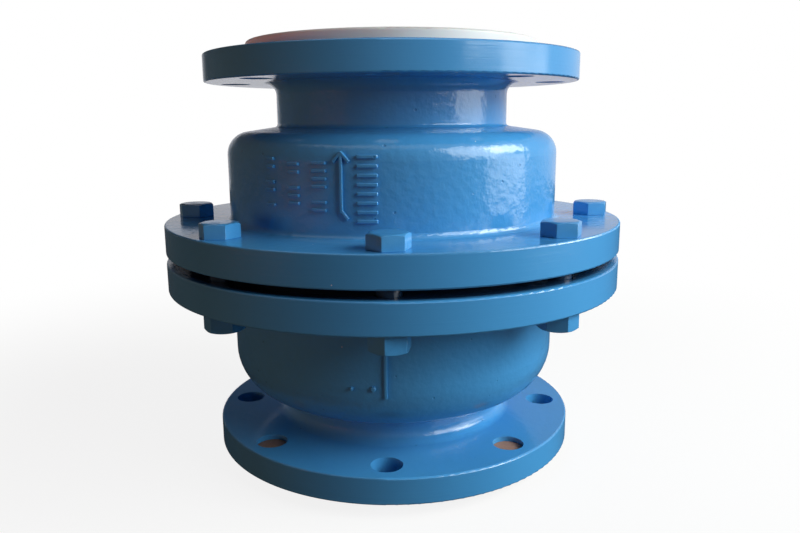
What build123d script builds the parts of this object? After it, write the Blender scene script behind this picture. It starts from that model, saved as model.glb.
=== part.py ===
"""PTFE-lined non-return valve: a vertical lift check between two round end flanges.

The frame is in millimetres with +Z up, the way the flow goes. Its origin is the centre of the
lower sealing face, and the valve stands on that face.
"""

import os
from math import cos, radians, sin

from build123d import *

os.makedirs("parts", exist_ok=True)

# Lining and sealing faces
face_to_face = 314.0
port_radius = 73.0
liner_wall = 4.5
flare_wall = 6.5
flare_edge_round = 2.0
port_mouth_round = 5.0

# End flanges
end_radius = 140.0
end_thickness = 19.5
end_face_step = 3.2
end_hole_circle = 120.65
end_hole_radius = 11.1
end_hole_count = 8
hole_margin = 0.5

# Bolted middle joint
joint_height = 159.05
joint_gap = 6.3
joint_radius = 173.5
joint_thickness = 21.5
joint_turn = 1.6
recess_margin = 8.8

# Castings
cast_wall = 9.0
cast_edge_round = 1.2
cast_mouth_round = 3.0
upper_neck_wall = 10.2
lower_neck_wall = 7.5
neck_fillet = 9.0
neck_root_fillet = 2.5
foot_fillet = 4.0
throat_round = 5.0

# Chamber
chamber_radius = 112.0
shoulder_depth = 61.2
shoulder_fall = 5.6
shoulder_round = 17.0
bowl_height = 48.0
bowl_round = 37.0
bowl_flat = 1.0

# Seat
seat_width = 9.0
seat_rise = 2.5
seat_round = 1.5

# Joint bolts and nuts
bolt_place = 0.635
bolt_radius = 8.0
bolt_hole_clearance = 0.9
across_flats = 24.0
head_height = 10.0
nut_height = 13.0
bolt_end_past_nut = 0.8
bolt_end_chamfer = 1.2
crown_flat_share = 0.92
crown_drop = 1.1
head_turns = (15.0, 8.5, 12.5, -8.0, 17.0, 4.0, -3.5, 0.0)
nut_turns = (21.0, -10.5, 3.0, 14.0, -6.0, 9.0, -12.0, 5.0)

# Guide spider and its bush
spider_clamp_wall = 5.0
spider_fit = 0.3
spider_ring_width = 10.5
spider_ring_height = 16.0
spider_arm_count = 4
spider_arm_width = 10.0
spider_edge_round = 3.0
hub_radius = 26.0
hub_height = 30.0
bush_wall = 5.0
bush_collar_width = 5.0
bush_collar_height = 3.0

# Disc and stem
lift = 38.0
seat_gap = 0.15
stop_gap = 0.3
disc_overlap = 4.0
disc_thickness = 18.0
disc_edge_round = 3.0
disc_skin = 4.0
boss_foot_radius = 44.0
boss_radius = 24.0
boss_round = 8.0
stem_radius = 12.0
stem_clearance = 0.08
stem_past_bush = 13.0
stem_end_round = 3.0
rod_radius = 8.0
rod_depth = 7.0

# Levels, from the lower sealing face up
lower_step = flare_wall
lower_flange_under = lower_step + end_face_step
lower_flange_top = lower_flange_under + end_thickness
upper_step = face_to_face - flare_wall
upper_flange_top = upper_step - end_face_step
upper_flange_under = upper_flange_top - end_thickness
lower_joint_face = joint_height - joint_gap / 2
upper_joint_face = joint_height + joint_gap / 2
lower_joint_under = lower_joint_face - joint_thickness
upper_joint_top = upper_joint_face + joint_thickness
spider_under = joint_height - spider_clamp_wall / 2
spider_top = joint_height + spider_clamp_wall / 2
lower_recess = spider_under - liner_wall
upper_recess = spider_top + liner_wall
shoulder_top = face_to_face - shoulder_depth
shoulder_rim = shoulder_top - shoulder_fall
bowl_floor = bowl_height + cast_wall + liner_wall
seat_top = bowl_floor + seat_rise

# Radii that follow from the bore, the chamber and the holes
cast_bore = port_radius + liner_wall
cast_chamber = chamber_radius + liner_wall
chamber_outside = cast_chamber + cast_wall
upper_neck = cast_bore + upper_neck_wall
lower_neck = cast_bore + lower_neck_wall
flare_radius = end_hole_circle - end_hole_radius - hole_margin
disc_radius = port_radius + seat_width + disc_overlap

# The joint bolts stand a little outside the middle of the flange's ring, clear of the recess
bolt_circle = chamber_outside + bolt_place * (joint_radius - chamber_outside)
bolt_hole_radius = bolt_radius + bolt_hole_clearance
recess_radius = bolt_circle - bolt_hole_radius - recess_margin
clamp_radius = recess_radius - spider_fit

# The bowl's round stops short of the fillet at the neck's root
bowl_corner = min(bowl_round, chamber_outside - lower_neck - neck_root_fillet - bowl_flat)


def half_section(corners):
    """Draw a closed half section from (radius, height, corner rounding) and fill it."""
    with BuildLine() as outline:
        FilletPolyline(
            [(radius, height) for radius, height, _ in corners],
            radius=[rounding for _, _, rounding in corners],
            close=True,
        )
    make_face(outline.edges())


def drill_circle(top, depth, circle, hole_radius, count, turn=0.0):
    """Drill evenly spaced holes down from a flat face, the first one facing the front."""
    with BuildSketch(Plane.XY.offset(top)) as holes:
        with PolarLocations(circle, count, start_angle=turn - 90):
            Circle(hole_radius)
    extrude(holes.sketch, amount=-depth, mode=Mode.SUBTRACT)


def keep(piece, name):
    """Name a finished piece and write it out."""
    piece.part.label = name
    export_step(piece.part, f"parts/{name}.step")


# Upper casting: outlet flange, neck, domed shoulder, chamber wall and joint flange
with BuildPart() as upper_body:
    with BuildSketch(Plane.XZ):
        half_section([
            (cast_bore, upper_step, cast_mouth_round),
            (flare_radius, upper_step, 0),
            (flare_radius, upper_flange_top, 0),
            (end_radius, upper_flange_top, cast_edge_round),
            (end_radius, upper_flange_under, cast_edge_round),
            (upper_neck, upper_flange_under, neck_fillet),
            (upper_neck, shoulder_top, neck_root_fillet),
            (chamber_outside, shoulder_rim, shoulder_round),
            (chamber_outside, upper_joint_top, foot_fillet),
            (joint_radius, upper_joint_top, cast_edge_round),
            (joint_radius, upper_joint_face, cast_edge_round),
            (recess_radius, upper_joint_face, 0),
            (recess_radius, upper_recess, 0),
            (cast_chamber, upper_recess, cast_mouth_round),
            (cast_chamber, shoulder_rim - cast_wall, shoulder_round - cast_wall),
            (cast_bore, shoulder_top - cast_wall, throat_round),
        ])
    revolve(axis=Axis.Z)
    drill_circle(upper_flange_top, end_thickness, end_hole_circle, end_hole_radius, end_hole_count)
    drill_circle(
        upper_joint_top, joint_thickness, bolt_circle, bolt_hole_radius, len(head_turns), joint_turn
    )
keep(upper_body, "upper_body")

# Lower casting: inlet flange, short neck, bowl and joint flange
with BuildPart() as lower_body:
    with BuildSketch(Plane.XZ):
        half_section([
            (cast_bore, lower_step, cast_mouth_round),
            (flare_radius, lower_step, 0),
            (flare_radius, lower_flange_under, 0),
            (end_radius, lower_flange_under, cast_edge_round),
            (end_radius, lower_flange_top, cast_edge_round),
            (lower_neck, lower_flange_top, neck_fillet),
            (lower_neck, bowl_height, neck_root_fillet),
            (chamber_outside, bowl_height, bowl_corner),
            (chamber_outside, lower_joint_under, foot_fillet),
            (joint_radius, lower_joint_under, cast_edge_round),
            (joint_radius, lower_joint_face, cast_edge_round),
            (recess_radius, lower_joint_face, 0),
            (recess_radius, lower_recess, 0),
            (cast_chamber, lower_recess, cast_mouth_round),
            (cast_chamber, bowl_height + cast_wall, bowl_corner - cast_wall),
            (cast_bore, bowl_height + cast_wall, throat_round),
        ])
    revolve(axis=Axis.Z)
    drill_circle(lower_flange_top, end_thickness, end_hole_circle, end_hole_radius, end_hole_count)
    drill_circle(
        lower_joint_face, joint_thickness, bolt_circle, bolt_hole_radius, len(head_turns), joint_turn
    )
keep(lower_body, "lower_body")

# Upper lining: one moulding from the flare on the outlet face to the flange in the joint
with BuildPart() as upper_liner:
    with BuildSketch(Plane.XZ):
        half_section([
            (port_radius, face_to_face, port_mouth_round),
            (flare_radius, face_to_face, flare_edge_round),
            (flare_radius, upper_step, 0),
            (cast_bore, upper_step, cast_mouth_round),
            (cast_bore, shoulder_top - cast_wall, throat_round),
            (cast_chamber, shoulder_rim - cast_wall, shoulder_round - cast_wall),
            (cast_chamber, upper_recess, cast_mouth_round),
            (clamp_radius, upper_recess, 0),
            (clamp_radius, spider_top, 0),
            (chamber_radius, spider_top, 0),
            (
                chamber_radius,
                shoulder_rim - cast_wall - liner_wall,
                shoulder_round - cast_wall - liner_wall,
            ),
            (port_radius, shoulder_top - cast_wall - liner_wall, throat_round + liner_wall),
        ])
    revolve(axis=Axis.Z)
keep(upper_liner, "upper_liner")

# Lower lining, with the raised seat that the disc closes on
with BuildPart() as lower_liner:
    with BuildSketch(Plane.XZ):
        half_section([
            (port_radius, 0, port_mouth_round),
            (flare_radius, 0, flare_edge_round),
            (flare_radius, lower_step, 0),
            (cast_bore, lower_step, cast_mouth_round),
            (cast_bore, bowl_height + cast_wall, throat_round),
            (cast_chamber, bowl_height + cast_wall, bowl_corner - cast_wall),
            (cast_chamber, lower_recess, cast_mouth_round),
            (clamp_radius, lower_recess, 0),
            (clamp_radius, spider_under, 0),
            (chamber_radius, spider_under, 0),
            (chamber_radius, bowl_floor, bowl_corner - cast_wall - liner_wall),
            (port_radius + seat_width, bowl_floor, seat_round),
            (port_radius + seat_width, seat_top, seat_round),
            (port_radius, seat_top, seat_round),
        ])
    revolve(axis=Axis.Z)
keep(lower_liner, "lower_liner")

# Guide spider: a flat rim clamped in the joint, a deeper ring, four arms and a hub
spider_ring_outside = chamber_radius - spider_fit
spider_ring_inside = spider_ring_outside - spider_ring_width
ring_under = joint_height - spider_ring_height / 2
ring_top = joint_height + spider_ring_height / 2
hub_under = joint_height - hub_height / 2
hub_top = joint_height + hub_height / 2
bush_bore = stem_radius + stem_clearance
bush_outside = bush_bore + bush_wall
with BuildPart() as guide_spider:
    with BuildSketch(Plane.XZ):
        half_section([
            (spider_ring_inside, ring_under, spider_edge_round),
            (spider_ring_outside, ring_under, 0),
            (spider_ring_outside, spider_under, 0),
            (clamp_radius, spider_under, 0),
            (clamp_radius, spider_top, 0),
            (spider_ring_outside, spider_top, 0),
            (spider_ring_outside, ring_top, 0),
            (spider_ring_inside, ring_top, spider_edge_round),
        ])
    revolve(axis=Axis.Z)
    with BuildSketch(Plane.XZ):
        half_section([
            (0, hub_under, 0),
            (hub_radius, hub_under, spider_edge_round),
            (hub_radius, hub_top, spider_edge_round),
            (0, hub_top, 0),
        ])
    revolve(axis=Axis.Z)
    arm_length = (spider_ring_inside + spider_ring_outside) / 2
    for step in range(spider_arm_count):
        bearing = radians(step * 360 / spider_arm_count)
        outward = (cos(bearing), sin(bearing), 0)
        across = Plane(origin=(0, 0, joint_height), x_dir=(-outward[1], outward[0], 0), z_dir=outward)
        with BuildSketch(across):
            RectangleRounded(spider_arm_width, spider_ring_height, spider_edge_round)
        extrude(amount=arm_length)
    with BuildSketch(Plane.XY.offset(hub_top)):
        Circle(bush_outside)
    extrude(amount=-hub_height, mode=Mode.SUBTRACT)
keep(guide_spider, "guide_spider")

# Bush: lines the hub and hangs in it by a collar
bush_top = hub_top + bush_collar_height
with BuildPart() as guide_bush:
    with BuildSketch(Plane.XZ):
        half_section([
            (bush_bore, hub_under, 0),
            (bush_outside, hub_under, 0),
            (bush_outside, hub_top, 0),
            (bush_outside + bush_collar_width, hub_top, 0),
            (bush_outside + bush_collar_width, bush_top, bush_collar_height / 3),
            (bush_bore, bush_top, bush_collar_height / 3),
        ])
    revolve(axis=Axis.Z)
keep(guide_bush, "guide_bush")

# Disc and stem: a steel core with a rod screwed in, moulded all over in PTFE
disc_under = seat_top + seat_gap
disc_top = disc_under + disc_thickness
boss_top = hub_under - lift - stop_gap
stem_top = bush_top + stem_past_bush
rod_under = disc_under + rod_depth


def disc_outline(skin):
    """Half section of the disc, boss and stem, drawn in from the outside by a skin."""
    return [
        (0, disc_under + skin, 0),
        (disc_radius - skin, disc_under + skin, max(disc_edge_round - skin, 0)),
        (disc_radius - skin, disc_top - skin, max(disc_edge_round - skin, 0)),
        (boss_foot_radius - skin, disc_top - skin, boss_round + skin),
        (boss_radius - skin, boss_top - skin, 0),
        (stem_radius - skin, boss_top - skin, 0),
        (stem_radius - skin, stem_top - skin, max(stem_end_round - skin, 0)),
        (0, stem_top - skin, 0),
    ]


with BuildPart() as disc_shell:
    with BuildSketch(Plane.XZ):
        half_section(disc_outline(0))
    revolve(axis=Axis.Z)
    with BuildSketch(Plane.XZ):
        half_section(disc_outline(disc_skin))
    revolve(axis=Axis.Z, mode=Mode.SUBTRACT)
keep(disc_shell, "disc_shell")

with BuildPart() as disc_core:
    with BuildSketch(Plane.XZ):
        half_section(disc_outline(disc_skin))
    revolve(axis=Axis.Z)
    with BuildSketch(Plane.XY.offset(rod_under)):
        Circle(rod_radius)
    extrude(amount=face_to_face, mode=Mode.SUBTRACT)
keep(disc_core, "disc_core")

with BuildPart() as stem_rod:
    with BuildSketch(Plane.XY.offset(rod_under)):
        Circle(rod_radius)
    extrude(amount=stem_top - disc_skin - rod_under)
keep(stem_rod, "stem_rod")


def hexagon(seat, height, turn):
    """Raise a hexagon from its seat, with its far end turned down to a round face."""
    corner_radius = across_flats / 2 / cos(radians(30))
    face_radius = across_flats / 2 * crown_flat_share
    with BuildSketch(seat) as flats:
        RegularPolygon(across_flats / 2, 6, major_radius=False, rotation=turn)
    extrude(flats.sketch, amount=height)
    with BuildSketch(Plane(origin=seat.origin, x_dir=(1, 0, 0), z_dir=(0, -1, 0))) as crown:
        half_section([
            (0, 0, 0),
            (corner_radius, 0, 0),
            (corner_radius, height * (1 - crown_drop / abs(height)), 0),
            (face_radius, height, 0),
            (0, height, 0),
        ])
    revolve(crown.sketch, axis=Axis(seat.origin, (0, 0, 1)), mode=Mode.INTERSECT)


# Joint bolts with their heads up, and a nut under the lower flange on each
nut_under = lower_joint_under - nut_height
bolt_end = nut_under - bolt_end_past_nut
for number, (head_turn, nut_turn) in enumerate(zip(head_turns, nut_turns), start=1):
    bearing = radians((number - 1) * 360 / len(head_turns) + joint_turn - 90)
    x, y = bolt_circle * cos(bearing), bolt_circle * sin(bearing)
    with BuildPart() as joint_bolt:
        hexagon(Plane(origin=(x, y, upper_joint_top)), head_height, head_turn)
        with BuildSketch(Plane(origin=(x, y, upper_joint_top))):
            Circle(bolt_radius)
        extrude(amount=bolt_end - upper_joint_top)
        chamfer(joint_bolt.edges().sort_by(Axis.Z)[0], bolt_end_chamfer)
    keep(joint_bolt, f"joint_bolt_{number}")

    with BuildPart() as joint_nut:
        hexagon(Plane(origin=(x, y, lower_joint_under)), -nut_height, nut_turn)
        with BuildSketch(Plane(origin=(x, y, lower_joint_under))):
            Circle(bolt_radius)
        extrude(amount=-nut_height, mode=Mode.SUBTRACT)
    keep(joint_nut, f"joint_nut_{number}")
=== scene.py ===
"""PTFE-lined non-return valve, finished for its picture. Lengths are in metres, +Z is up."""

from math import atan2, cos, pi, radians, sin, sqrt

import bpy
from mathutils import Matrix, Vector


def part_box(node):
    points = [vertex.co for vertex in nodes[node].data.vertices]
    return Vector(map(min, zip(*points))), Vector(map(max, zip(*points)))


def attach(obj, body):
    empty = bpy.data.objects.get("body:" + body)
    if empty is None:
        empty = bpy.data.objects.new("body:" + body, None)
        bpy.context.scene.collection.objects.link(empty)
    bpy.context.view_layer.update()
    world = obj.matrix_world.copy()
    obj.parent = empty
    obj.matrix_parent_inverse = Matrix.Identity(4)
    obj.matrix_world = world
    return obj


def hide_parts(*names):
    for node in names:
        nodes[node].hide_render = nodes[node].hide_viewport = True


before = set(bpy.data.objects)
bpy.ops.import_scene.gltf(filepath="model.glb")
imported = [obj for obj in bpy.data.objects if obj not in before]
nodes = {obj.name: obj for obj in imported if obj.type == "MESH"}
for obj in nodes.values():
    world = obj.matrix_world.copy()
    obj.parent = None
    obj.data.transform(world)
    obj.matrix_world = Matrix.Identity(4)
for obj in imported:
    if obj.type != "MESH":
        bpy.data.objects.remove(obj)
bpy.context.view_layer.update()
scene = bpy.context.scene
scene.view_settings.view_transform = "Standard"

# Camera: about 0.6 m in front of the valve and a little right of it, level with the outlet
# neck and tipped down, so both end flanges show their upper edges as thin ellipses.
camera_place = Vector((0.0257, -0.5776, 0.2590))
camera_heading = radians(2.007)
camera_dip = radians(11.51)
camera_roll = radians(-0.361)
lens = bpy.data.cameras.new("camera")
lens.lens = 32.91
lens.sensor_width = 36.0
lens.clip_start = 0.01
camera = bpy.data.objects.new("camera", lens)
scene.collection.objects.link(camera)
camera.matrix_world = (
    Matrix.Translation(camera_place)
    @ Matrix.Rotation(camera_heading, 4, "Z")
    @ Matrix.Rotation(pi / 2 - camera_dip, 4, "X")
    @ Matrix.Rotation(camera_roll, 4, "Z")
)
scene.camera = camera

# Castings: two sand castings with turned flange rims and faces, sprayed in gloss blue enamel. The
# skin stays a little lumpy and pitted on the bodies, with fine tool lines on the rims. All that
# shows in the slot between the joint flanges is painted dark as painted shade, darkest deepest in.
end_rim = 0.140
joint_rim = 0.1735
middle_height = 0.157
end_flange_reach = 0.120
slot_low = 0.153
slot_high = 0.165
slot_depth = 0.110
slot_mouth = joint_rim - 0.0015
slot_fade = 0.006
# Painted shade: the dark blue that stands for the shade inside the joint's slot.
slot_shade_blue = (0.012, 0.045, 0.11, 1)


class Wire:
    """A shader socket that takes part in sums. Each operator adds the Math node it stands for."""

    def __init__(self, tree, socket):
        self.tree = tree
        self.socket = socket

    def lead_to(self, socket):
        self.tree.links.new(self.socket, socket)

    def math(self, operation, *terms):
        node = self.tree.nodes.new("ShaderNodeMath")
        node.operation = operation
        for place, term in zip(node.inputs, terms):
            connect(term, place)
        return Wire(self.tree, node.outputs[0])

    def __add__(self, other):
        return self.math("ADD", self, other)

    def __radd__(self, other):
        return self.math("ADD", other, self)

    def __sub__(self, other):
        return self.math("SUBTRACT", self, other)

    def __rsub__(self, other):
        return self.math("SUBTRACT", other, self)

    def __mul__(self, other):
        return self.math("MULTIPLY", self, other)

    def __rmul__(self, other):
        return self.math("MULTIPLY", other, self)

    def __pow__(self, other):
        return self.math("POWER", self, other)

    def __gt__(self, other):
        return self.math("GREATER_THAN", self, other)

    def __lt__(self, other):
        return self.math("LESS_THAN", self, other)

    def __abs__(self):
        return self.math("ABSOLUTE", self)


def connect(value, socket):
    """Lead a wire to a socket, or write a plain value on it."""
    if isinstance(value, Wire):
        value.lead_to(socket)
    else:
        socket.default_value = value


class NodeTree:
    """A shader tree, made a node at a time."""

    def __init__(self, tree):
        self.tree = tree

    def node(self, kind, settings=None, inputs=None, output=0):
        """Add one node: its settings first, then its sockets. Gives back the output or outputs."""
        node = self.tree.nodes.new(kind)
        for name, value in (settings or {}).items():
            if name == "stops":
                ramp = node.color_ramp.elements
                while len(ramp) < len(value):
                    ramp.new(0.5)
                for element, (position, colour) in zip(ramp, value):
                    element.position = position
                    element.color = colour
            else:
                setattr(node, name, value)
        for name, value in (inputs or {}).items():
            connect(value, node.inputs[name])
        if isinstance(output, tuple):
            return [Wire(self.tree, node.outputs[name]) for name in output]
        return Wire(self.tree, node.outputs[output])

    def ease(self, value, low, high):
        """0 below low, 1 above high, and smooth between them."""
        return self.node(
            "ShaderNodeMapRange",
            {"interpolation_type": "SMOOTHSTEP"},
            {"Value": value, "From Min": low, "From Max": high},
        )

    def mix(self, share, first, second):
        return self.node(
            "ShaderNodeMix", {"data_type": "RGBA"}, {0: share, 6: first, 7: second}, output=2
        )

    def end_in(self, shading, kind):
        """Lead a finished shading to the tree's output node."""
        shading.lead_to(self.tree.nodes[kind].inputs["Surface"])


class Finish(NodeTree):
    """One surface finish on the Principled shader, with the place on the object at hand."""

    def __init__(self, name, **sockets):
        self.material = bpy.data.materials.new(name)
        self.material.use_nodes = True
        super().__init__(self.material.node_tree)
        self.shader = self.tree.nodes["Principled BSDF"]
        self.feed(**sockets)
        self.place = self.node("ShaderNodeTexCoord", output="Object")
        self.x, self.y, self.z = self.node(
            "ShaderNodeSeparateXYZ", inputs={0: self.place}, output=("X", "Y", "Z")
        )
        self.radius = (self.x * self.x + self.y * self.y) ** 0.5

    def feed(self, **sockets):
        """Set sockets of the surface shader, named with underscores for spaces."""
        for name, value in sockets.items():
            connect(value, self.shader.inputs[name.replace("_", " ")])

    def noise(self, scale, detail=2.0, roughness=0.5, place=None):
        return self.node(
            "ShaderNodeTexNoise",
            inputs={"Vector": place or self.place, "Scale": scale, "Detail": detail,
                    "Roughness": roughness},
        )

    def stretched(self, across, along):
        """The place with its level and upright directions scaled apart, for marks that run round."""
        return self.node(
            "ShaderNodeMapping", inputs={0: self.place, "Scale": (across, across, along)}
        )

    def bump(self, height):
        """Raise the surface by a height in metres."""
        self.feed(Normal=self.node("ShaderNodeBump", inputs={"Distance": 1.0, "Height": height}))

    def specks(self, scale, size, share):
        """Small round spots, one to a cell, in this share of the cells."""
        cells = {"Vector": self.place, "Scale": scale}
        distance, tint = self.node(
            "ShaderNodeTexVoronoi", inputs=cells, output=("Distance", "Color")
        )
        chance = self.node("ShaderNodeSeparateColor", inputs={0: tint}, output="Red")
        return (1 - self.ease(distance, 0.6 * size * scale, size * scale)) * (chance < share)

    def cover(self, *pieces):
        """Make this the only material of these objects."""
        for piece in pieces:
            piece.data.materials.clear()
            piece.data.materials.append(self.material)


def slot_paint_and_shade(finish, shade):
    """A colour with painted shade laid over all that shows in the joint's slot, darkest deepest in.
    """
    in_slot = (finish.z > slot_low) * (finish.z < slot_high) * (finish.radius > slot_depth)
    deeper_shade = 1 - finish.ease(finish.radius, slot_mouth - slot_fade, slot_mouth)
    return finish.mix(in_slot * deeper_shade, shade, slot_shade_blue)


def enamel(name, cast_skin):
    """Gloss blue enamel. With a cast skin it covers a casting, without one a bolt or a nut."""
    paint = Finish(name, IOR=1.55)
    patches = paint.noise(14.0, 3.0)
    shade = paint.mix(patches, (0.052, 0.270, 0.59, 1), (0.066, 0.320, 0.65, 1))
    lumps = paint.noise(170.0, 2.0)
    grain = paint.noise(900.0, 2.0)
    pale_specks = paint.specks(70.0, 0.00045, 0.06)
    if cast_skin:
        normal = paint.node("ShaderNodeNewGeometry", output="Normal")
        upright = paint.node("ShaderNodeSeparateXYZ", inputs={0: normal}, output="Z")
        flat = paint.ease(abs(upright), 0.992, 0.999)
        at_end = abs(paint.z - middle_height) > end_flange_reach
        rim = (paint.radius > end_rim - 0.0013) * at_end
        rim = rim + (paint.radius > joint_rim - 0.0013) * (1 - at_end)
        skin = (1 - flat) * (1 - rim)
        tool_lines = paint.noise(1.0, 2.0, 0.6, paint.stretched(9.0, 850.0))
        pits = paint.specks(160.0, 0.0011, 0.10)
        height = skin * (lumps * 0.00038 + grain * 0.00003 - pits * 0.00020)
        height = height + flat * (lumps * 0.00016 + grain * 0.00003)
        height = height + rim * (tool_lines * 0.00006 + lumps * 0.00005)
        paint.bump(height)
        # The pits are also coloured darker: painted shade in their hollows.
        shade = paint.mix(skin * pits * 0.5, shade, (0.030, 0.17, 0.40, 1))
        paint.feed(Roughness=0.10 + skin * 0.06 + rim * 0.06 + grain * 0.04)
    else:
        paint.bump(lumps * 0.00014 + grain * 0.00002)
        paint.feed(Roughness=0.16 + grain * 0.06)
    # Small pale specks scattered over the paint.
    shade = paint.mix(pale_specks, shade, (0.62, 0.72, 0.78, 1))
    # Inside the joint's slot the colour turns to painted shade.
    paint.feed(Base_Color=slot_paint_and_shade(paint, shade))
    return paint


casting_enamel = enamel("casting_enamel", True)
casting_enamel.cover(nodes["upper_body"], nodes["lower_body"])

# Cast marks: raised on the pattern, so they stand proud of both bodies under the paint. A flow
# arrow and plain tally bars on the upper body, and a short rib and two knobs on the bowl.
chamber_wall = 0.1255
mark_height = 0.0018
mark_root = 0.0012
bowl_round = 0.037
bowl_round_start = 0.085
arrow_bearing = radians(-12.2)
arrow_foot = 0.2005
arrow_tip = 0.2380
arrow_width = 0.0021


def deselect():
    bpy.ops.object.select_all(action="DESELECT")


def use_modifier(piece, kind, **settings):
    """Put one modifier on a piece and apply it."""
    modifier = piece.modifiers.new(kind.lower(), kind)
    for name, value in settings.items():
        setattr(modifier, name, value)
    deselect()
    piece.select_set(True)
    bpy.context.view_layer.objects.active = piece
    bpy.ops.object.modifier_apply(modifier=modifier.name)


def settle(piece, smooth_angle=35.0):
    """Move a piece's place into its mesh, and smooth all but its sharp edges."""
    deselect()
    piece.select_set(True)
    bpy.context.view_layer.objects.active = piece
    bpy.ops.object.transform_apply(location=True, rotation=True, scale=True)
    bpy.ops.object.shade_smooth_by_angle(angle=radians(smooth_angle))
    return piece


def joined(pieces, name):
    """Join pieces into one named piece."""
    deselect()
    for piece in pieces:
        piece.select_set(True)
    bpy.context.view_layer.objects.active = pieces[0]
    bpy.ops.object.join()
    pieces[0].name = name
    pieces[0].data.name = name
    return pieces[0]


def flat_bar(across, height, width, length, lean=0.0):
    """A soft-edged bar laid out flat: across is measured round the wall, height is its middle."""
    deselect()
    thickness = mark_height + mark_root
    bpy.ops.mesh.primitive_cube_add(
        size=1.0,
        location=(across, mark_root - thickness / 2, height),
        rotation=(0, lean, 0),
        scale=(width, thickness, length),
    )
    bar = settle(bpy.context.object)
    bpy.ops.object.mode_set(mode="EDIT")
    bpy.ops.mesh.select_all(action="SELECT")
    bpy.ops.mesh.subdivide(number_cuts=3)
    bpy.ops.object.mode_set(mode="OBJECT")
    use_modifier(bar, "BEVEL", width=0.0009, segments=3, limit_method="ANGLE")
    return bar


def flat_knob(across, height, radius):
    """A low round knob laid out flat."""
    deselect()
    thickness = mark_height + mark_root
    bpy.ops.mesh.primitive_cylinder_add(
        vertices=20,
        radius=radius,
        depth=thickness,
        location=(across, mark_root - thickness / 2, height),
        rotation=(pi / 2, 0, 0),
    )
    knob = settle(bpy.context.object)
    use_modifier(knob, "BEVEL", width=0.0008, segments=3, limit_method="ANGLE")
    return knob


def wall_radius(height):
    """Outside radius of the bodies, which falls away at the bottom of the bowl."""
    drop = bowl_round_start - height
    if drop <= 0:
        return chamber_wall
    return chamber_wall - bowl_round + sqrt(bowl_round**2 - drop**2)


def wrapped(pieces, name):
    """Join flat marks and lay them round the wall."""
    marks = joined(pieces, name)
    for vertex in marks.data.vertices:
        bearing = vertex.co.x / chamber_wall
        out = wall_radius(vertex.co.z) - vertex.co.y
        vertex.co = (out * sin(bearing), -out * cos(bearing), vertex.co.z)
    marks.data.update()
    settle(marks, 50.0)
    casting_enamel.cover(marks)
    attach(marks, "valve_body")
    return marks


def bar_column(bearing, low, high, width, count, gaps=()):
    """A column of level tally bars between two heights, with some left out."""
    pitch = (high - low) / count
    thick = 0.42 * pitch
    return [
        flat_bar(radians(bearing) * chamber_wall, low + (step + 0.5) * pitch, width, thick)
        for step in range(count)
        if step not in gaps
    ]


arrow_across = arrow_bearing * chamber_wall
barb = 0.0085
upper_marks = [
    flat_bar(arrow_across, (arrow_foot + arrow_tip) / 2, arrow_width, arrow_tip - arrow_foot),
    flat_bar(arrow_across - 0.0024, arrow_tip - 0.0026, arrow_width, barb, radians(42)),
    flat_bar(arrow_across + 0.0024, arrow_tip - 0.0026, arrow_width, barb, radians(-42)),
    flat_bar(arrow_across + 0.0022, arrow_foot - 0.0014, arrow_width, barb * 0.8, radians(-38)),
]
upper_marks += bar_column(-4.6, 0.1925, 0.2385, 0.0132, 8)
upper_marks += bar_column(-19.0, 0.1995, 0.2340, 0.0100, 7, (2,))
upper_marks += bar_column(-27.6, 0.2030, 0.2330, 0.0085, 6, (3,))
upper_marks += bar_column(-36.6, 0.2010, 0.2360, 0.0075, 7, (1, 4))
wrapped(upper_marks, "cast_marks_upper")

lower_marks = [
    flat_bar(0.0, 0.1030, 0.0024, 0.0500),
    flat_knob(-0.0082, 0.0850, 0.0019),
    flat_knob(-0.0228, 0.0845, 0.0014),
]
wrapped(lower_marks, "cast_marks_lower")

# Linings: thick PTFE moulded into each casting, flared out over the end face and skimmed flat in
# the lathe, which leaves fine rings on the flare. The valve was sprayed when it was together, so
# the enamel covers the linings' edges in the joint's slot, shown there in dark painted shade.
lining_white = Finish("lining_white", Subsurface_Weight=0.12, Subsurface_Scale=0.002, IOR=1.38)
rings = lining_white.noise(
    2600.0, 1.0, place=lining_white.node("ShaderNodeCombineXYZ", inputs={0: lining_white.radius})
)
cloud = lining_white.noise(22.0, 3.0)
lining_white.bump(rings * 0.000012 + lining_white.noise(500.0) * 0.00001)
lining_shade = lining_white.mix(cloud, (0.66, 0.66, 0.645, 1), (0.70, 0.705, 0.70, 1))
lining_white.feed(
    Base_Color=slot_paint_and_shade(lining_white, lining_shade),
    Roughness=0.30 + rings * 0.12,
)
lining_white.cover(nodes["upper_liner"], nodes["lower_liner"])

# Guide spider and bush: the spider is clamped between the linings in the joint and carries the
# bush that the stem slides in. Both are machined from PTFE bar, so they are waxy and matt.
moulding_white = Finish("moulding_white", Subsurface_Weight=0.10, Subsurface_Scale=0.002, IOR=1.38)
cutter_marks = moulding_white.noise(1.0, 2.0, place=moulding_white.stretched(60.0, 1500.0))
moulding_white.bump(cutter_marks * 0.00002 + moulding_white.noise(300.0) * 0.00002)
moulding_shade = moulding_white.mix(
    moulding_white.noise(30.0), (0.70, 0.70, 0.68, 1), (0.76, 0.76, 0.745, 1)
)
# The spider's edge in the joint's slot gets the same painted shade.
moulding_white.feed(
    Base_Color=slot_paint_and_shade(moulding_white, moulding_shade),
    Roughness=0.42 + cutter_marks * 0.12,
)
moulding_white.cover(nodes["guide_spider"], nodes["guide_bush"])

# Disc and stem: PTFE moulded all over a steel core, one smooth white piece that lifts with the
# flow. The seat face underneath is turned.
moulding_white.cover(nodes["disc_shell"])

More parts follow.
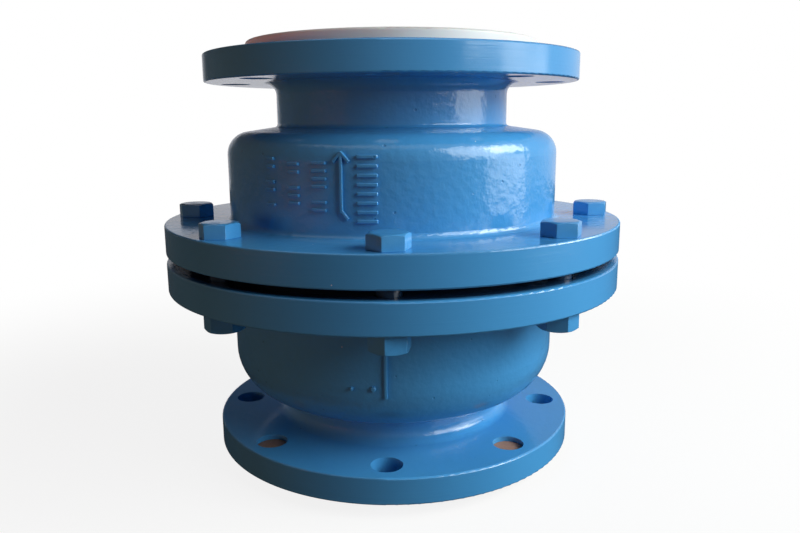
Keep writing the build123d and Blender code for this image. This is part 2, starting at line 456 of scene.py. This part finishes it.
# Disc core and stem rod: turned steel, sealed inside the moulding.
turned_steel = Finish("turned_steel", Metallic=1.0)
tool_rings = turned_steel.noise(1.0, 2.0, place=turned_steel.stretched(20.0, 2500.0))
turned_steel.bump(tool_rings * 0.00001)
turned_steel.feed(
    Base_Color=turned_steel.mix(tool_rings, (0.46, 0.47, 0.48, 1), (0.60, 0.61, 0.62, 1)),
    Roughness=0.26 + tool_rings * 0.16,
)
turned_steel.cover(nodes["disc_core"], nodes["stem_rod"])

# Joint bolts: M16 hexagon bolts, dropped through both flanges with their heads up, then painted
# with the valve, so the enamel has filled and rounded their corners.
across_corners = 0.0277128
head_height = 0.010
bolt_radius = 0.008
bolt_end_chamfer = 0.0012
crown_radius = 0.0110
crown_slope = 2.56
paint_round = 0.00065
bolt_count = 8
fastener_enamel = enamel("fastener_enamel", False)


def hexagon(height):
    """A hexagon standing on the origin, with a turned crown and paint-softened edges."""
    deselect()
    bpy.ops.mesh.primitive_cylinder_add(
        vertices=6, radius=across_corners / 2, depth=height, location=(0, 0, height / 2)
    )
    flats = settle(bpy.context.object)
    bpy.ops.mesh.primitive_cone_add(
        vertices=96,
        radius1=crown_radius + crown_slope * height,
        radius2=crown_radius,
        depth=height,
        location=(0, 0, height / 2),
    )
    crown = settle(bpy.context.object)
    use_modifier(flats, "BOOLEAN", operation="INTERSECT", object=crown, solver="EXACT")
    bpy.data.objects.remove(crown)
    use_modifier(flats, "BEVEL", width=paint_round, segments=3, limit_method="ANGLE",
                 angle_limit=radians(14))
    return flats


def rod(radius, low, high):
    """A round bar between two heights, with its lower end chamfered."""
    deselect()
    bpy.ops.mesh.primitive_cylinder_add(
        vertices=48, radius=radius, depth=high - low, location=(0, 0, (low + high) / 2)
    )
    bar = settle(bpy.context.object)
    deselect()
    bar.select_set(True)
    bpy.ops.object.mode_set(mode="EDIT")
    bpy.ops.mesh.select_all(action="DESELECT")
    bpy.ops.object.mode_set(mode="OBJECT")
    for edge in bar.data.edges:
        edge.select = all(bar.data.vertices[v].co.z < low + 1e-5 for v in edge.vertices)
    bpy.ops.object.mode_set(mode="EDIT")
    bpy.ops.mesh.select_mode(type="EDGE")
    bpy.ops.mesh.bevel(offset=bolt_end_chamfer, segments=2)
    bpy.ops.object.mode_set(mode="OBJECT")
    return bar


def corner_bearing(node, middle):
    """Bearing of one corner of a hexagon node, read from the point farthest from its middle."""
    far = max(node.data.vertices, key=lambda vertex: (vertex.co.xy - middle).length)
    reach = far.co.xy - middle
    return atan2(reach.y, reach.x)


def set_in_place(pattern, name, middle, height, turn):
    """Copy a pattern to its place on the joint, in place of the CAD node of the same number."""
    mesh = pattern.data.copy()
    mesh.transform(Matrix.Translation((*middle, height)) @ Matrix.Rotation(turn, 4, "Z"))
    piece = bpy.data.objects.new(name, mesh)
    scene.collection.objects.link(piece)
    fastener_enamel.cover(piece)
    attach(piece, "valve_body")
    return piece


bolt_low, bolt_high = (corner.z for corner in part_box("joint_bolt_1"))
head_seat = bolt_high - head_height
joint_middle = [
    (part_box(f"joint_nut_{number}")[0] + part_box(f"joint_nut_{number}")[1]).xy / 2
    for number in range(1, bolt_count + 1)
]
bolt_pattern = joined(
    [hexagon(head_height), rod(bolt_radius, bolt_low - head_seat, 0.0005)], "bolt_pattern"
)
settle(bolt_pattern, 40.0)
for number, middle in enumerate(joint_middle, start=1):
    node = nodes[f"joint_bolt_{number}"]
    turn = corner_bearing(node, middle) - pi / 2
    bolt = set_in_place(bolt_pattern, f"hex_bolt_{number}", middle, head_seat, turn)
    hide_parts(f"joint_bolt_{number}")

# Joint nuts: one under the lower joint flange on each bolt, crown down, with the end of the bolt
# just through it.
nut_low, nut_high = (corner.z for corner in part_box("joint_nut_1"))
nut_pattern = hexagon(nut_high - nut_low)
bpy.ops.mesh.primitive_cylinder_add(vertices=48, radius=bolt_radius, depth=0.1)
thread_hole = settle(bpy.context.object)
use_modifier(nut_pattern, "BOOLEAN", operation="DIFFERENCE", object=thread_hole, solver="EXACT")
bpy.data.objects.remove(thread_hole)
nut_pattern.data.transform(Matrix.Rotation(pi, 4, "X"))
settle(nut_pattern, 40.0)
for number, middle in enumerate(joint_middle, start=1):
    turn = corner_bearing(nodes[f"joint_nut_{number}"], middle) - pi / 2
    nut = set_in_place(nut_pattern, f"hex_nut_{number}", middle, nut_high, turn)
    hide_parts(f"joint_nut_{number}")
for pattern in (bolt_pattern, nut_pattern):
    bpy.data.objects.remove(pattern)

# Hole plugs: two tan discs that close bolt holes of the inlet flange for storage. They are
# pressed in from above and stop a little below the flange.
plug_bearings = (radians(-45), radians(45))
plug_circle = 0.12065
plug_radius = 0.0111
plug_top = 0.0257
plug_thickness = 0.006
plug_tan = Finish("plug_tan", IOR=1.45)
fibres = plug_tan.noise(1.0, 3.0, 0.6, plug_tan.stretched(520.0, 520.0))
plug_tan.bump(fibres * 0.00012)
plug_tan.feed(
    Base_Color=plug_tan.mix(fibres, (0.24, 0.125, 0.085, 1), (0.40, 0.24, 0.17, 1)),
    Roughness=0.62 + fibres * 0.2,
)
for side, bearing in zip(("left", "right"), plug_bearings):
    deselect()
    bpy.ops.mesh.primitive_cylinder_add(
        vertices=64,
        radius=plug_radius,
        depth=plug_thickness,
        location=(
            plug_circle * sin(bearing), -plug_circle * cos(bearing), plug_top - plug_thickness / 2
        ),
    )
    plug = settle(bpy.context.object)
    use_modifier(plug, "BEVEL", width=0.0005, segments=2, limit_method="ANGLE")
    settle(plug)
    plug.name = f"hole_plug_{side}"
    plug.data.name = plug.name
    plug_tan.cover(plug)
    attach(plug, "valve_body")

# Floor and background: white to the camera, with the shadow of the valve left faintly on the
# floor. The enamel mirrors a dim room instead, lighter to the right, on a ring of cloth.
room_radius = 2.3
room_height = 3.0
glow = {"Color": (1, 1, 1, 1), "Strength": 1.0}

deselect()
bpy.ops.mesh.primitive_plane_add(size=8.0, location=(0, 0, 0))
floor = bpy.context.object
floor.name = "floor"
floor_white = Finish("floor_white", Roughness=0.9, Specular_IOR_Level=0.0)
to_camera = floor_white.node("ShaderNodeLightPath", output="Is Camera Ray")
floor_white.feed(Base_Color=floor_white.mix(to_camera, (0.08, 0.08, 0.08, 1), (0.9, 0.9, 0.9, 1)))
lit = Wire(floor_white.tree, floor_white.shader.outputs[0])
plain = floor_white.node("ShaderNodeEmission", inputs=glow)
share = to_camera * (0.86 + 0.14 * floor_white.ease(floor_white.radius, 0.3, 0.8))
floor_white.end_in(
    floor_white.node("ShaderNodeMixShader", inputs={0: share, 1: lit, 2: plain}), "Material Output"
)
floor_white.cover(floor)

deselect()
bpy.ops.mesh.primitive_cylinder_add(
    vertices=96,
    radius=room_radius,
    depth=room_height,
    end_fill_type="NOTHING",
    location=(0, 0, room_height / 2),
)
surround = settle(bpy.context.object)
surround.name = "surround"
cloth = Finish("surround_cloth")
bearing = cloth.x.math("ARCTAN2", cloth.x, cloth.y * -1.0) * (0.5 / pi) + 0.5
upper = cloth.node(
    "ShaderNodeValToRGB",
    {"stops": (
        (0.00, (0.24, 0.23, 0.30, 1)),
        (0.04, (0.05, 0.05, 0.05, 1)),
        (0.10, (0.05, 0.05, 0.05, 1)),
        (0.25, (0.10, 0.085, 0.07, 1)),
        (0.42, (0.12, 0.12, 0.13, 1)),
        (0.50, (0.20, 0.22, 0.26, 1)),
        (0.58, (0.30, 0.33, 0.37, 1)),
        (0.75, (0.60, 0.65, 0.68, 1)),
        (0.90, (0.45, 0.45, 0.52, 1)),
        (1.00, (0.24, 0.23, 0.30, 1)),
    )},
    {0: bearing},
)
behind = cloth.ease(cloth.y + 0.5 * cloth.x, 0.9, 1.7) * (1 - cloth.ease(cloth.z, 0.50, 0.75))
cloth_light = cloth.node(
    "ShaderNodeEmission", inputs={"Color": cloth.mix(behind, upper, (0.70, 0.71, 0.75, 1))}
)
cloth.end_in(cloth_light, "Material Output")
cloth.cover(surround)
for rays_seen in ("visible_camera", "visible_diffuse", "visible_shadow", "visible_transmission"):
    setattr(surround, rays_seen, False)

world = bpy.data.worlds.new("studio")
scene.world = world
world.use_nodes = True
studio = NodeTree(world.node_tree)
to_camera, to_gloss, to_glass = studio.node(
    "ShaderNodeLightPath", output=("Is Camera Ray", "Is Glossy Ray", "Is Transmission Ray")
)
white = studio.node("ShaderNodeBackground", inputs=glow)
dim = studio.node("ShaderNodeBackground", inputs={"Color": (0.015, 0.016, 0.020, 1)})
seen = to_camera.math("MAXIMUM", to_camera.math("MAXIMUM", to_camera, to_gloss), to_glass)
studio.end_in(studio.node("ShaderNodeMixShader", inputs={0: seen, 1: dim, 2: white}), "World Output")


# Lights: a bright window to the right with its sill below it, a soft sheet at the right front, a
# weak warm bounce from low at the left, and a level fill behind for the side away from them.
def soft_light(name, bearing, rise, distance, width, height, power, colour, mirrored=True):
    lamp = bpy.data.lights.new(name, "AREA")
    lamp.shape = "RECTANGLE"
    lamp.size = width
    lamp.size_y = height
    lamp.energy = power
    lamp.color = colour
    holder = bpy.data.objects.new(name, lamp)
    level = distance * cos(rise)
    place = Vector((level * sin(bearing), -level * cos(bearing), distance * sin(rise) + 0.16))
    holder.matrix_world = (
        Matrix.Translation(place)
        @ Matrix.Rotation(bearing, 4, "Z")
        @ Matrix.Rotation(pi / 2 - rise, 4, "X")
    )
    holder.visible_glossy = mirrored
    holder.visible_camera = False
    scene.collection.objects.link(holder)


soft_light("window", radians(88), radians(28), 1.6, 0.80, 0.58, 14.0, (0.97, 1.0, 0.93))
soft_light("sill", radians(82), radians(3), 1.6, 1.00, 0.46, 4.7, (0.97, 1.0, 0.97))
soft_light("sheet", radians(62), radians(28), 1.6, 1.15, 1.00, 20.5, (0.95, 1.0, 1.0))
soft_light("warm_bounce", radians(-58), radians(-1), 1.4, 0.9, 0.26, 4.5, (1.0, 0.34, 0.17), False)
soft_light("back_fill", radians(-155), radians(6), 1.8, 2.2, 0.8, 14.0, (1.0, 1.0, 1.0), False)
